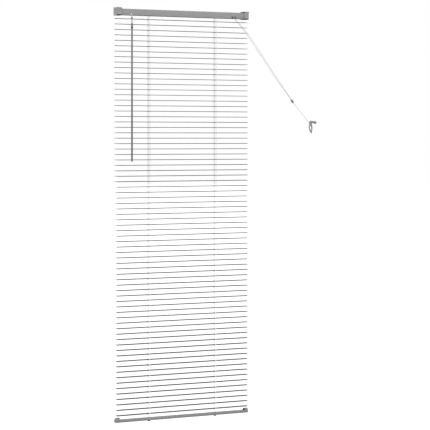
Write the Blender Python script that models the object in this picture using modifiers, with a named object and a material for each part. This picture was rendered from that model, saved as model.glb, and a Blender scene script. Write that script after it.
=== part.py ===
# Venetian blind with 25 mm slats, 590 mm wide and 1.6 m long, hung from two box brackets.
# Metres, +Z up, X along the slats and -Y towards the room. The origin is on the wall,
# midway between the brackets and level with their tops. Every third slat is a solid here.
import math

import bmesh
import bpy
from mathutils import Vector

MM = 0.001
GAP = 0.3 * MM  # clearance between pieces that touch

# Slats and curtain
WIDTH = 589.2 * MM  # over the brackets
SLAT_COUNT = 74
SLAT_STEP = 3  # every third slat is modelled
SLAT_PITCH = 20.96 * MM
SLAT_DEPTH = 25 * MM
SLAT_LENGTH = 588 * MM
SLAT_CROWN = 2.0 * MM
SLAT_THICK = 0.3 * MM
FIRST_SLAT_Z = -44.0 * MM
LADDER_X = 148 * MM  # each ladder's distance from the middle
ROUTE_HOLE = (4.2 * MM, 16.6 * MM)  # the cord's hole in a slat, along X and along Y

# Head rail, a U channel that is open at the top
RAIL_LENGTH = 585.6 * MM
RAIL_SIDE = 25 * MM
RAIL_WALL = 0.8 * MM
RAIL_LIP = 3 * MM
RAIL_TOP_Z = -4.6 * MM
CENTRE_Y = -15.5 * MM  # the rail, the tilt rod and the slats share this depth
ROD_Z = -18.5 * MM
ROD_RADIUS = 3.2 * MM
ROD_HOLE = 4.0 * MM

# Box brackets
BRACKET_WIDTH = 20 * MM
BRACKET_DEPTH = 31 * MM
BRACKET_HEIGHT = 31.2 * MM
BRACKET_WALL = 1.2 * MM
DOOR_PIN_Y = -32.6 * MM
DOOR_PIN_Z = -1.6 * MM
DOOR_FOOT_Z = -27.2 * MM

# Tilter and wand
TILTER_X = -231 * MM
STEM_LEAN = math.radians(25)
GEAR_RADIUS = 5 * MM
WORM_RADIUS = 2.2 * MM
STEM_BALL_AT = 23.9 * MM  # along the stem from the point where worm and gear mesh
BALL_RADIUS = 2.2 * MM
WAND_RADIUS = 3.8 * MM
WAND_TOP_Z = -80.3 * MM
WAND_BOTTOM_Z = -595 * MM

# Cords
LOCK_X = 228 * MM
CORD_RADIUS = 0.7 * MM
LADDER_CORD_RADIUS = 0.45 * MM
LADDER_CORD_Y = 13.5 * MM  # from the slats' middle

# Bottom rail
FOOT_WIDTH = 22 * MM
FOOT_HEIGHT = 10 * MM
FOOT_WALL = 0.8 * MM
FOOT_DROP = 20.4 * MM  # from the last slat to the rail's middle
FOOT_Z = FIRST_SLAT_Z - (SLAT_COUNT - 1) * SLAT_PITCH - FOOT_DROP
CAP_LENGTH = 15 * MM
CAP_WALL = 1.6 * MM
FOOT_LENGTH = WIDTH - 2 * (CAP_LENGTH + GAP)

ALONG_X = (math.pi / 2, 0, math.pi / 2)  # turns a drawing's x, y, z to Y, Z, X
FACING_ROOM = (math.pi / 2, 0, 0)  # turns a drawing's x, y, z to X, Z, -Y


def clear_scene():
    for ob in list(bpy.data.objects):
        bpy.data.objects.remove(ob, do_unlink=True)


def new_collection(name):
    group = bpy.data.collections.new(name)
    bpy.context.scene.collection.children.link(group)
    return group


def material(name, colour, roughness, metallic):
    mat = bpy.data.materials.new(name)
    mat.use_nodes = True
    shader = mat.node_tree.nodes["Principled BSDF"]
    shader.inputs["Base Color"].default_value = (*colour, 1)
    shader.inputs["Roughness"].default_value = roughness
    shader.inputs["Metallic"].default_value = metallic
    return mat


def add_object(name, data, mat, place=(0, 0, 0), turn=(0, 0, 0)):
    ob = bpy.data.objects.new(name, data)
    blind.objects.link(ob)
    ob.location = place
    ob.rotation_euler = turn
    if not data.materials:
        data.materials.append(mat)
    return ob


def box(name, size, centre, mat, turn=(0, 0, 0)):
    bm = bmesh.new()
    bmesh.ops.create_cube(bm, size=1)
    bmesh.ops.scale(bm, vec=size, verts=bm.verts)
    mesh = bpy.data.meshes.new(name)
    bm.to_mesh(mesh)
    bm.free()
    return add_object(name, mesh, mat, centre, turn)


def span(name, low, high, mat):
    """A box between two corners."""
    size = [b - a for a, b in zip(low, high)]
    centre = [(a + b) / 2 for a, b in zip(low, high)]
    return box(name, size, centre, mat)


def cylinder(name, radius, length, centre, axis, mat, sides=24):
    bm = bmesh.new()
    bmesh.ops.create_cone(
        bm, cap_ends=True, segments=sides, radius1=radius, radius2=radius, depth=length
    )
    mesh = bpy.data.meshes.new(name)
    bm.to_mesh(mesh)
    bm.free()
    turn = Vector(axis).to_track_quat("Z", "Y").to_euler()
    ob = add_object(name, mesh, mat, centre, turn)
    round_shading(ob)
    return ob


def round_shading(ob):
    ob.data.shade_smooth()
    ob.data.set_sharp_from_angle(angle=math.radians(40))


def apply_modifiers(ob):
    """Replaces an object's mesh by its evaluated one."""
    bpy.context.view_layer.update()
    graph = bpy.context.evaluated_depsgraph_get()
    mesh = bpy.data.meshes.new_from_object(ob.evaluated_get(graph))
    ob.modifiers.clear()
    ob.data = mesh
    return ob


def plate(name, outlines, thickness, centre, turn, mat):
    """A flat drawing of one outer outline and any holes, given a thickness."""
    drawing = bpy.data.curves.new(name, "CURVE")
    drawing.dimensions = "2D"
    drawing.fill_mode = "BOTH"
    drawing.extrude = thickness / 2
    for outline in outlines:
        spline = drawing.splines.new("POLY")
        spline.points.add(len(outline) - 1)
        for point, (x, y) in zip(spline.points, outline):
            point.co = (x, y, 0, 1)
        spline.use_cyclic_u = True
    flat = bpy.data.objects.new(name, drawing)
    blind.objects.link(flat)
    bpy.context.view_layer.update()
    graph = bpy.context.evaluated_depsgraph_get()
    mesh = bpy.data.meshes.new_from_object(flat.evaluated_get(graph))
    bpy.data.objects.remove(flat)
    bm = bmesh.new()
    bm.from_mesh(mesh)
    bmesh.ops.remove_doubles(bm, verts=bm.verts, dist=0.00001)
    bm.to_mesh(mesh)
    bm.free()
    mesh.materials.clear()
    ob = add_object(name, mesh, mat, centre, turn)
    round_shading(ob)
    return ob


def turned(name, profile, centre, axis, mat, sides=24):
    """A turned shape. The profile, in radius and height, runs down its outer side."""
    mesh = bpy.data.meshes.new(name)
    points = [(radius, 0, height) for radius, height in profile]
    edges = [(i, i + 1) for i in range(len(points) - 1)]
    if profile[0][0] > 0:
        edges.append((len(points) - 1, 0))
    mesh.from_pydata(points, edges, [])
    turn = Vector(axis).to_track_quat("Z", "Y").to_euler()
    ob = add_object(name, mesh, mat, centre, turn)
    lathe = ob.modifiers.new("lathe", "SCREW")
    lathe.steps = lathe.render_steps = sides
    lathe.use_merge_vertices = True
    lathe.merge_threshold = 0.00001
    apply_modifiers(ob)
    bm = bmesh.new()
    bm.from_mesh(ob.data)
    bmesh.ops.recalc_face_normals(bm, faces=bm.faces)
    bm.to_mesh(ob.data)
    bm.free()
    round_shading(ob)
    return ob


def tube(name, points, radius, mat):
    cord = bpy.data.curves.new(name, "CURVE")
    cord.dimensions = "3D"
    cord.bevel_depth = radius
    cord.bevel_resolution = 2
    cord.use_fill_caps = True
    spline = cord.splines.new("POLY")
    spline.points.add(len(points) - 1)
    for point, co in zip(spline.points, points):
        point.co = (*co, 1)
    return add_object(name, cord, mat)


def smooth_route(points, step):
    """Points about a step apart on a smooth curve through a route's own points."""
    ends = [points[0] * 2 - points[1], *points, points[-1] * 2 - points[-2]]
    smooth = [points[0]]
    for a, b, c, d in zip(ends, ends[1:], ends[2:], ends[3:]):
        count = max(1, round((c - b).length / step))
        for k in range(1, count + 1):
            t = k / count
            smooth.append(
                b
                + (c - a) * (t / 2)
                + (a * 2 - b * 5 + c * 4 - d) * (t * t / 2)
                + (b * 3 - a - c * 3 + d) * (t**3 / 2)
            )
    return smooth


def millimetres(*points):
    return [Vector(point) * MM for point in points]


def circle(radius, sides=24, middle=(0, 0), start=0, sweep=2 * math.pi):
    """Points round a circle or, with a sweep, along an arc with both its ends."""
    last = sides if sweep == 2 * math.pi else sides - 1
    return [
        (
            middle[0] + radius * math.cos(start + sweep * k / last),
            middle[1] + radius * math.sin(start + sweep * k / last),
        )
        for k in range(sides)
    ]


def rounded_box(width, height, radius):
    """The outline of a box with round corners, about the drawing's origin."""
    outline = []
    for corner, (sx, sy) in enumerate(((1, 1), (-1, 1), (-1, -1), (1, -1))):
        middle = (sx * (width / 2 - radius), sy * (height / 2 - radius))
        outline += circle(radius, 4, middle, corner * math.pi / 2, math.pi / 2)
    return outline


def set_aside(tool):
    """Moves a cutter, or a shape that has been joined to another, out of the blind."""
    blind.objects.unlink(tool)
    cutters.objects.link(tool)
    tool.hide_render = True
    tool.display_type = "WIRE"


def combine(ob, tool, operation):
    change = ob.modifiers.new(tool.name, "BOOLEAN")
    change.operation = operation
    change.solver = "EXACT"
    change.object = tool
    set_aside(tool)


def cut(ob, *tools):
    for tool in tools:
        combine(ob, tool, "DIFFERENCE")


def join(ob, *tools):
    for tool in tools:
        combine(ob, tool, "UNION")


def slat_height(number):
    return FIRST_SLAT_Z - (number - 1) * SLAT_PITCH


def make_head_rail():
    half, wall, lip = RAIL_SIDE / 2, RAIL_WALL, RAIL_LIP
    outline = [
        (-half, -half),
        (half, -half),
        (half, half),
        (half - lip, half),
        (half - lip, half - wall),
        (half - wall, half - wall),
        (half - wall, wall - half),
        (wall - half, wall - half),
        (wall - half, half - wall),
        (lip - half, half - wall),
        (lip - half, half),
        (-half, half),
    ]
    centre = (0, CENTRE_Y, RAIL_TOP_Z - half)
    rail = plate("head_rail", [outline], RAIL_LENGTH, centre, ALONG_X, painted)
    floor_z = RAIL_TOP_Z - RAIL_SIDE
    for side in (-1, 1):
        x = side * LADDER_X
        hole = box("ladder_hole", (7.4 * MM, 22 * MM, 4 * MM), (x, CENTRE_Y, floor_z), painted)
        cut(rail, hole)
    front = CENTRE_Y - half
    for name, x, width, high in (
        ("tilter_slot", TILTER_X, 9 * MM, 9 * MM),
        ("cord_slot", LOCK_X, 20 * MM, 8.6 * MM),
    ):
        low = (x - width / 2, front - MM, floor_z - MM)
        cut(rail, span(name, low, (x + width / 2, front + 8 * MM, floor_z + high), painted))


def make_bracket(name, side):
    """A box that is open towards the room and towards the rail, with a hinged door."""
    outer, inner = side * WIDTH / 2, side * (WIDTH / 2 - BRACKET_WIDTH)
    low = (min(outer, inner), -BRACKET_DEPTH, -BRACKET_HEIGHT)
    bracket = span(name, low, (max(outer, inner), 0, 0), painted)
    wall = BRACKET_WALL
    inside = [outer - side * wall, inner - side * MM]
    cut(
        bracket,
        span(
            "bracket_hollow",
            (min(inside), -BRACKET_DEPTH - MM, wall - BRACKET_HEIGHT),
            (max(inside), -wall, -wall),
            painted,
        ),
    )
    middle = (outer + inner) / 2
    for x in (middle - 5 * MM, middle + 5 * MM):
        cut(bracket, cylinder("screw_hole", 2.2 * MM, 8 * MM, (x, 0, -14 * MM), (0, 1, 0), painted, 16))
    for x in (outer - side * 1.2 * MM, inner + side * 1.2 * MM):
        ear = span(
            "door_ear",
            (x - 1.2 * MM, -33.9 * MM, -2.9 * MM),
            (x + 1.2 * MM, -BRACKET_DEPTH + 0.5 * MM, 0),
            painted,
        )
        join(bracket, ear)
    pin_place = (middle, DOOR_PIN_Y, DOOR_PIN_Z)
    cut(bracket, cylinder("pin_hole", 0.9 * MM, 24 * MM, pin_place, (1, 0, 0), painted, 12))

    plate_low = (middle - 9.7 * MM, -32.5 * MM, DOOR_FOOT_Z)
    door = span(name + "_door", plate_low, (middle + 9.7 * MM, -31.3 * MM, -3.6 * MM), painted)
    neck_low = (middle - 7 * MM, -32.5 * MM, -4.5 * MM)
    join(
        door,
        span("door_neck", neck_low, (middle + 7 * MM, -31.3 * MM, -2 * MM), painted),
        cylinder("door_knuckle", 1.2 * MM, 14 * MM, pin_place, (1, 0, 0), painted, 16),
        cylinder("door_pin", 0.55 * MM, 18.8 * MM, pin_place, (1, 0, 0), painted, 12),
        span(
            "door_lip",
            (middle - 4 * MM, -34 * MM, DOOR_FOOT_Z),
            (middle + 4 * MM, -32 * MM, DOOR_FOOT_Z + 1.6 * MM),
            painted,
        ),
    )


def rod_hole(radius=ROD_HOLE):
    return cylinder(
        "rod_hole", radius, WIDTH, (0, CENTRE_Y, ROD_Z), (1, 0, 0), nylon, 20
    )


def make_tilter():
    """Housing with the stem's nose, worm with its stem and ball, and the gear on the rod."""
    low = (TILTER_X - 13 * MM, -26.6 * MM, -28.5 * MM)
    housing = span("tilter_housing", low, (TILTER_X + 13 * MM, -4.4 * MM, -7.5 * MM), nylon)
    inner_low = (TILTER_X - 10.5 * MM, -28 * MM, -30 * MM)
    cut(
        housing,
        span("tilter_hollow", inner_low, (TILTER_X + 10.5 * MM, -7 * MM, -10 * MM), nylon),
        rod_hole(),
    )

    along = Vector((0, -math.sin(STEM_LEAN), -math.cos(STEM_LEAN)))
    towards_room = Vector((0, -math.cos(STEM_LEAN), math.sin(STEM_LEAN)))
    rod = Vector((TILTER_X, CENTRE_Y, ROD_Z))
    mesh_point = rod + towards_room * (GEAR_RADIUS + WORM_RADIUS + GAP)
    ball = mesh_point + along * STEM_BALL_AT
    neck = 1.2 * MM
    ball_arc = [
        (BALL_RADIUS * math.sin(a), BALL_RADIUS * math.cos(a))
        for a in (math.pi * (1 - k / 8) for k in range(8))
    ]
    # Heights are from the ball's middle up the stem, and the stem comes first.
    worm_low, worm_high = STEM_BALL_AT - 5 * MM, STEM_BALL_AT + 3 * MM
    down_the_stem = [
        (0, worm_high),
        (WORM_RADIUS, worm_high),
        (WORM_RADIUS, worm_low),
        (1.6 * MM, worm_low),
        (1.6 * MM, 6 * MM),
        (neck, 5 * MM),
    ]
    web = span(
        "nose_web",
        (TILTER_X - 11.5 * MM, -26.6 * MM, -27.6 * MM),
        (TILTER_X + 11.5 * MM, -24 * MM, -22.6 * MM),
        nylon,
    )
    nose_place = mesh_point + along * 12.25 * MM
    nose = cylinder("nose", 3.6 * MM, 8.5 * MM, nose_place, along, nylon)
    join(housing, web, nose)
    cut(housing, cylinder("stem_bore", 2 * MM, 22 * MM, nose_place, along, nylon, 20))
    worm = turned(
        "tilter_worm", down_the_stem + ball_arc[:1:-1][1:] + ball_arc[1::-1], ball, -along, nylon
    )
    gear_outline = []
    teeth = 14
    for k in range(teeth):
        for part, radius in ((0, 4.1), (0.3, GEAR_RADIUS / MM), (0.6, GEAR_RADIUS / MM), (0.9, 4.1)):
            angle = 2 * math.pi * (k + part) / teeth
            gear_outline.append((radius * MM * math.cos(angle), radius * MM * math.sin(angle)))
    bore = circle(ROD_RADIUS + GAP * 1.2, 6)
    plate("tilter_gear", [gear_outline, bore], 7 * MM, rod, ALONG_X, nylon)
    return worm, ball


def make_tilt_rod():
    ends = (-250 * MM, 160 * MM)
    length, middle = ends[1] - ends[0], sum(ends) / 2
    outline = circle(ROD_RADIUS, 6)
    plate("tilt_rod", [outline], length, (middle, CENTRE_Y, ROD_Z), ALONG_X, steel)


def make_ladder_support(name, side):
    """The cradle that stands in the rail, and the drum that winds the ladder's cords."""
    x = side * LADDER_X
    bottom, top, thick = -28.5 * MM, -10 * MM, 1.4 * MM
    cradle = span(
        name + "_cradle",
        (x - 10 * MM, CENTRE_Y - 11.4 * MM, bottom),
        (x + 10 * MM, CENTRE_Y + 11.4 * MM, bottom + thick),
        nylon,
    )
    for end in (-1, 1):
        edge = x + end * 9.3 * MM
        upright = span(
            "cradle_upright",
            (edge - thick / 2, CENTRE_Y - 7 * MM, bottom + MM),
            (edge + thick / 2, CENTRE_Y + 7 * MM, top),
            nylon,
        )
        join(cradle, upright)
    slot = box("cradle_slot", (7 * MM, 21 * MM, 4 * MM), (x, CENTRE_Y, bottom), nylon)
    low = (x - 12 * MM, CENTRE_Y - 6 * MM, bottom + thick)
    window = span("cord_window", low, (x + 12 * MM, CENTRE_Y + 6 * MM, -24.6 * MM), nylon)
    cut(cradle, slot, window, rod_hole())
    bore = circle(ROD_RADIUS + GAP * 1.2, 6)
    outlines = [circle(6.3 * MM, 28), bore]
    plate(name + "_tilt_drum", outlines, 10 * MM, (x, CENTRE_Y, ROD_Z), ALONG_X, nylon)


def make_cord_lock():
    low = (LOCK_X - 14 * MM, -26.7 * MM, -28.5 * MM)
    lock = span("cord_lock", low, (LOCK_X + 14 * MM, -5 * MM, -10 * MM), nylon)
    hollow_low = (LOCK_X - 16 * MM, -24.3 * MM, -30 * MM)
    hollow = span("lock_hollow", hollow_low, (LOCK_X + 11 * MM, -7.4 * MM, -13 * MM), nylon)
    ports = []
    for left, right, roof in ((-9.2, -2.2, -21.4), (4.2, 9.8, -21.4), (-3.0, 5.0, -25.2)):
        port_low = (LOCK_X + left * MM, -29 * MM, -30 * MM)
        ports.append(span("lock_port", port_low, (LOCK_X + right * MM, -23 * MM, roof * MM), nylon))
    lean = math.radians(30)
    lift = Vector((math.sin(lean), 0, math.cos(lean)))
    rest = Vector((LOCK_X - 2 * MM, -15.85 * MM, -21.6 * MM))
    slot = box(
        "roller_slot", (3.4 * MM, 30 * MM, 8 * MM), rest + lift * 2 * MM, nylon, (0, lean, 0)
    )
    cut(lock, hollow, *ports, slot)
    roller = cylinder("cord_lock_roller", 2.5 * MM, 15 * MM, rest, (0, 1, 0), steel, 20)
    join(roller, cylinder("roller_axle", 1.4 * MM, 20 * MM, rest, (0, 1, 0), steel, 16))


def make_wand(ball):
    """The socket that hangs on the stem's ball, its collar and the six-sided wand."""
    cavity, rim = BALL_RADIUS + GAP, math.radians(60)
    arc = [
        (cavity * math.sin(a), cavity * math.cos(a))
        for a in (rim + (math.pi - rim) * k / 8 for k in range(8))
    ]
    outside = [(3.3 * MM, arc[0][1]), (3.3 * MM, -3.2 * MM), (1.9 * MM, -6 * MM)]
    shank = [(1.9 * MM, -46 * MM), (0, -46 * MM)]
    turned("wand_socket", [(0, -cavity), *arc[:0:-1], arc[0], *outside, *shank], ball, (0, 0, 1), clear)
    bore = 2.3 * MM
    top, foot = -61.5 * MM, WAND_TOP_Z + GAP
    ring = [(4.3 * MM, top), (4.3 * MM, foot), (bore, foot), (bore, top)]
    turned("wand_collar", ring, (ball.x, ball.y, 0), (0, 0, 1), dark)
    length = WAND_TOP_Z - WAND_BOTTOM_Z
    middle = (ball.x, ball.y, (WAND_TOP_Z + WAND_BOTTOM_Z) / 2)
    wand = cylinder("tilt_wand", WAND_RADIUS, length, middle, (0, 0, 1), clear, 6)
    cut(wand, cylinder("wand_bore", bore, 20 * MM, (ball.x, ball.y, WAND_TOP_Z), (0, 0, 1), clear, 16))


def make_slats():
    """One crowned slat with its two cord holes, placed at every third height."""
    bm = bmesh.new()
    bmesh.ops.create_grid(bm, x_segments=1, y_segments=6, size=0.5)
    bmesh.ops.scale(bm, vec=(SLAT_LENGTH, SLAT_DEPTH, 1), verts=bm.verts)
    for vert in bm.verts:
        share = vert.co.y / (SLAT_DEPTH / 2)
        vert.co.z = SLAT_CROWN * (1 - share * share)
    mesh = bpy.data.meshes.new("slat")
    bm.to_mesh(mesh)
    bm.free()
    pattern = add_object("slat_pattern", mesh, painted)
    skin = pattern.modifiers.new("thickness", "SOLIDIFY")
    skin.thickness = SLAT_THICK
    skin.offset = 0
    for side in (-1, 1):
        hole = box("route_hole", (*ROUTE_HOLE, 8 * MM), (side * LADDER_X, 0, 0), painted)
        cut(pattern, hole)
    apply_modifiers(pattern)
    slat_mesh = pattern.data
    round_shading(pattern)
    bpy.data.objects.remove(pattern)
    for number in range(1, SLAT_COUNT + 1, SLAT_STEP):
        place = (0, CENTRE_Y, slat_height(number))
        add_object(f"slat_{number:02d}", slat_mesh, painted, place)


def make_ladder_cords(name, side):
    """A ladder's front and back cords, from the drum down to the bottom rail."""
    for where, depth in (("front", -1), ("back", 1)):
        route = (
            (7.1 * MM, ROD_Z),
            (7.3 * MM, -22 * MM),
            (9.0 * MM, -27.5 * MM),
            (10.2 * MM, -31 * MM),
            (LADDER_CORD_Y, -40 * MM),
            (LADDER_CORD_Y, FOOT_Z + 10 * MM),
            (FOOT_WIDTH / 2 + 0.8 * MM, FOOT_Z + 6 * MM),
            (FOOT_WIDTH / 2 + 0.8 * MM, FOOT_Z),
        )
        points = [(side * LADDER_X, CENTRE_Y + depth * y, z) for y, z in route]
        tube(f"{name}_ladder_{where}", points, LADDER_CORD_RADIUS, cord_fibre)


def make_lift_cords():
    """Each runs from the bottom rail up through the slats and along the rail to the lock."""
    foot = (FOOT_Z - 1.4 * MM) / MM
    middle, side = CENTRE_Y / MM, LADDER_X / MM
    left = [
        (-side, middle, foot),
        (-side, middle, -30.5),
        (1.2 - side, middle - 0.2, -27.4),
        (4.2 - side, middle - 1.2, -25.95),
        (12 - side, middle - 3, -25.95),
        (28 - side, middle - 4, -25.95),
        (200, middle - 4, -25.95),
        (212, middle - 4.5, -25.7),
        (218.5, -20.6, -25.7),
    ]
    right = [
        (side, middle, foot),
        (side, middle, -30.5),
        (side + 1.2, middle + 0.2, -27.4),
        (side + 4.2, middle + 1.2, -25.95),
        (side + 12, middle + 2.5, -25.95),
        (200, middle + 1.5, -25.95),
        (212, middle, -25.7),
        (218.5, -17.2, -25.7),
    ]
    tube("left_lift_cord", millimetres(*left), CORD_RADIUS, cord_fibre)
    tube("right_lift_cord", millimetres(*right), CORD_RADIUS, cord_fibre)


def make_pull_cords():
    """The two cords leave the lock, meet in the joiner and run on as one to the cleat."""
    first = millimetres(
        (219.3, -20.8, -25.8),
        (223, -22.6, -26.2),
        (226.6, -26.0, -27.2),
        (229.2, -29.2, -29.8),
        (232, -31.2, -34.8),
        (238.4, -32.0, -42),
        (247.1, -32.0, -50.5),
        (258.5, -32.0, -61.5),
        (270, -31.6, -73.6),
        (284, -31.0, -89.6),
        (301, -30.0, -109),
        (324, -28.6, -137),
        (350, -27.2, -169),
        (372, -26.2, -196),
        (409, -24.4, -242),
        (450, -22.2, -290),
        (480.6, -20.6, -324.8),
        (501.1, -19.5, -348.6),
    )
    second = millimetres(
        (219.3, -17.0, -25.8),
        (224.4, -19.6, -26.2),
        (229.2, -24.2, -27.0),
        (232.4, -28.6, -29.2),
        (235.4, -30.6, -34),
        (242.6, -31.0, -41),
        (252, -30.8, -49),
        (264.6, -30.6, -59.8),
        (277, -30.2, -72),
        (292, -29.4, -88),
        (309, -28.4, -107.6),
        (331, -27.2, -134),
        (356, -25.8, -165),
        (377, -24.6, -191.4),
        (413, -22.8, -237.6),
        (453, -20.8, -286),
        (483.2, -19.2, -322.2),
        (503.1, -18.2, -346.6),
    )
    tail = millimetres(
        (514.4, -17.7, -362.2),
        (523, -16.8, -371),
        (537, -15.0, -384.8),
        (553, -12.8, -400.2),
        (570, -10.4, -416.2),
        (585, -8.4, -429.8),
        (597.2, -7.0, -440.2),
    )
    tube("pull_cord_left", smooth_route(first, 7 * MM), CORD_RADIUS, cord_fibre)
    tube("pull_cord_right", smooth_route(second, 7 * MM), CORD_RADIUS, cord_fibre)
    tube("pull_cord_tail", smooth_route(tail, 7 * MM), CORD_RADIUS, cord_fibre)
    top, foot = Vector((502.5, -18.9, -347.9)) * MM, Vector((514.2, -17.7, -361.9)) * MM
    along = top - foot
    half = along.length / 2
    barrel = [
        (0, half),
        (2.6 * MM, half),
        (4.2 * MM, half - 3 * MM),
        (4.6 * MM, 0),
        (3.4 * MM, 3 * MM - half),
        (2.0 * MM, -half),
        (0, -half),
    ]
    turned("cord_joiner", barrel, (top + foot) / 2, along, dark, 20)


def make_cleat():
    """A flat wall cleat: a screwed boss, an arm and a drop-shaped eye."""
    outline = [
        (600.6, -436.4),
        (606, -433.2),
        (627, -435.2),
        (627, -444.6),
        (614, -442.6),
        (611.4, -447),
        (614.2, -455),
        (614.8, -463),
        (613.8, -471),
        (612.4, -479),
        (610.6, -485),
        (607.4, -480.6),
        (602.6, -472.6),
        (599.4, -465),
        (598.8, -457),
        (601.8, -448),
        (599.8, -441.4),
    ]
    eye = [(606.6 + 4.4 * x, -462 + 9.4 * z) for x, z in circle(1, 20)]
    thick = 4.4 * MM
    outlines = [[(x * MM, z * MM) for x, z in points] for points in (outline, eye)]
    cleat = plate("cord_cleat", outlines, thick, (0, -thick / 2, 0), FACING_ROOM, dark)
    boss = Vector((627.4, 0, -440)) * MM
    boss_depth = 7 * MM
    to_room = Vector((0, -1, 0))
    join(cleat, cylinder("cleat_boss", 5.6 * MM, boss_depth, boss + to_room * boss_depth / 2, to_room, dark))
    cut(cleat, cylinder("cleat_bore", 2.2 * MM, 30 * MM, boss, to_room, dark, 16))
    head_low, head_high = boss_depth + GAP, boss_depth + 2.2 * MM
    profile = [
        (0, head_high),
        (2.4 * MM, head_high),
        (3.8 * MM, head_low + 0.7 * MM),
        (3.8 * MM, head_low),
        (1.9 * MM, head_low),
        (1.9 * MM, 0.2 * MM),
        (0, 0.2 * MM),
    ]
    turned("cleat_screw", profile, boss, to_room, steel, 20)


def make_bottom_rail():
    outer = rounded_box(FOOT_WIDTH, FOOT_HEIGHT, 3 * MM)
    inner = rounded_box(FOOT_WIDTH - 2 * FOOT_WALL, FOOT_HEIGHT - 2 * FOOT_WALL, 2.2 * MM)
    centre = Vector((0, CENTRE_Y, FOOT_Z))
    rail = plate("bottom_rail", [outer, inner], FOOT_LENGTH, centre, ALONG_X, painted)
    for name, side in (("left", -1), ("right", 1)):
        x = side * LADDER_X
        top_z, bottom_z = FOOT_Z + FOOT_HEIGHT / 2, FOOT_Z - FOOT_HEIGHT / 2
        cut(
            rail,
            cylinder("cord_hole", 2 * MM, 4 * MM, (x, CENTRE_Y, top_z), (0, 0, 1), painted, 16),
            cylinder("plug_hole", 3.6 * MM, 4 * MM, (x, CENTRE_Y, bottom_z), (0, 0, 1), painted, 20),
        )
        plug = [
            (0, 3 * MM),
            (3.2 * MM, 3 * MM),
            (3.2 * MM, -GAP),
            (6 * MM, -GAP),
            (5.8 * MM, -2 * MM),
            (4.6 * MM, -4 * MM),
            (0, -4.4 * MM),
        ]
        turned(name + "_cord_plug", plug, (x, CENTRE_Y, bottom_z), (0, 0, 1), dark)

        make_end_cap(name + "_end_cap", side, outer)


def make_end_cap(name, side, outline):
    """Plugged into the rail's end, with a hollow ear above it that is open towards the rail."""
    inner_x, outer_x = side * (FOOT_LENGTH / 2 + GAP), side * WIDTH / 2
    back_x = outer_x - side * CAP_WALL
    middle = Vector(((inner_x + outer_x) / 2, CENTRE_Y, FOOT_Z))
    cap = plate(name, [outline], CAP_LENGTH, middle, ALONG_X, dark)
    ear_y, ear_z = CENTRE_Y - 2.2 * MM, FOOT_Z + 4.8 * MM
    ear = cylinder("cap_ear", 8.8 * MM, CAP_LENGTH, (middle.x, ear_y, ear_z), (1, 0, 0), dark, 32)
    hollow_place = (inner_x - side * MM + (back_x - inner_x) / 2, ear_y, ear_z + 0.8 * MM)
    hollow_length = abs(back_x - inner_x) + 2 * MM
    hollow = cylinder("ear_hollow", 6.6 * MM, hollow_length, hollow_place, (1, 0, 0), dark, 28)
    ends = sorted((inner_x - side * 8 * MM, back_x + side * 0.5 * MM))
    insert = span(
        "cap_insert",
        (ends[0], CENTRE_Y - 9 * MM, FOOT_Z - 3.4 * MM),
        (ends[1], CENTRE_Y + 9 * MM, FOOT_Z + 3.4 * MM),
        dark,
    )
    ends = sorted((inner_x + side * MM, back_x + side * 0.5 * MM))
    rib = span(
        "ear_rib",
        (ends[0], ear_y - 0.7 * MM, FOOT_Z + 3 * MM),
        (ends[1], ear_y + 0.7 * MM, ear_z + 8 * MM),
        dark,
    )
    join(cap, ear)
    cut(cap, hollow)
    join(cap, insert, rib)


clear_scene()
blind = new_collection("venetian_blind")
cutters = new_collection("cutters")
painted = material("painted_aluminium", (0.44, 0.44, 0.44), 0.38, 0.5)
nylon = material("white_nylon", (0.80, 0.80, 0.78), 0.5, 0)
steel = material("zinc_steel", (0.55, 0.55, 0.56), 0.35, 1)
clear = material("smoked_clear_plastic", (0.32, 0.32, 0.32), 0.2, 0)
dark = material("dark_grey_plastic", (0.13, 0.13, 0.13), 0.45, 0)
cord_fibre = material("cord_fibre", (0.72, 0.72, 0.70), 0.8, 0)

make_head_rail()
for bracket_name, bracket_side in (("left_bracket", -1), ("right_bracket", 1)):
    make_bracket(bracket_name, bracket_side)
worm_body, stem_ball = make_tilter()
make_tilt_rod()
for ladder_name, ladder_side in (("left", -1), ("right", 1)):
    make_ladder_support(ladder_name, ladder_side)
    make_ladder_cords(ladder_name, ladder_side)
make_cord_lock()
make_wand(stem_ball)
make_slats()
make_lift_cords()
make_pull_cords()
make_cleat()
make_bottom_rail()
print(len(blind.objects), "sub-parts")
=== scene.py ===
import math

import bmesh
import bpy
from mathutils import Matrix, Vector


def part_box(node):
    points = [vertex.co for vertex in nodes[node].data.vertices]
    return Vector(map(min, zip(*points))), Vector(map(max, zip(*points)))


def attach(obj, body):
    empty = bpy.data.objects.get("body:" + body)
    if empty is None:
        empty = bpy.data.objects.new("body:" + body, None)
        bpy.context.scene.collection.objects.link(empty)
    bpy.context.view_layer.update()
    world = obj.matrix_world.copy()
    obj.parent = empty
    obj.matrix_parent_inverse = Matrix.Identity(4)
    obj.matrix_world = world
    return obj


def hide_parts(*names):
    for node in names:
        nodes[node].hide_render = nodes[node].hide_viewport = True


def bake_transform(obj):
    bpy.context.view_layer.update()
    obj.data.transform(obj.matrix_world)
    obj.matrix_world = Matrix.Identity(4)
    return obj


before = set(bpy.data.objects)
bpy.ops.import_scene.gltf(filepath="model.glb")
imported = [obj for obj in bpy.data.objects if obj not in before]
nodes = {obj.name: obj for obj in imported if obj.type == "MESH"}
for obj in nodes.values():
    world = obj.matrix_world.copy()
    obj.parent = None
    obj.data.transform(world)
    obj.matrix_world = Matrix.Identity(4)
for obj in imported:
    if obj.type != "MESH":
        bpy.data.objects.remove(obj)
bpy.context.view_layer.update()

mm = 0.001

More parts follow.
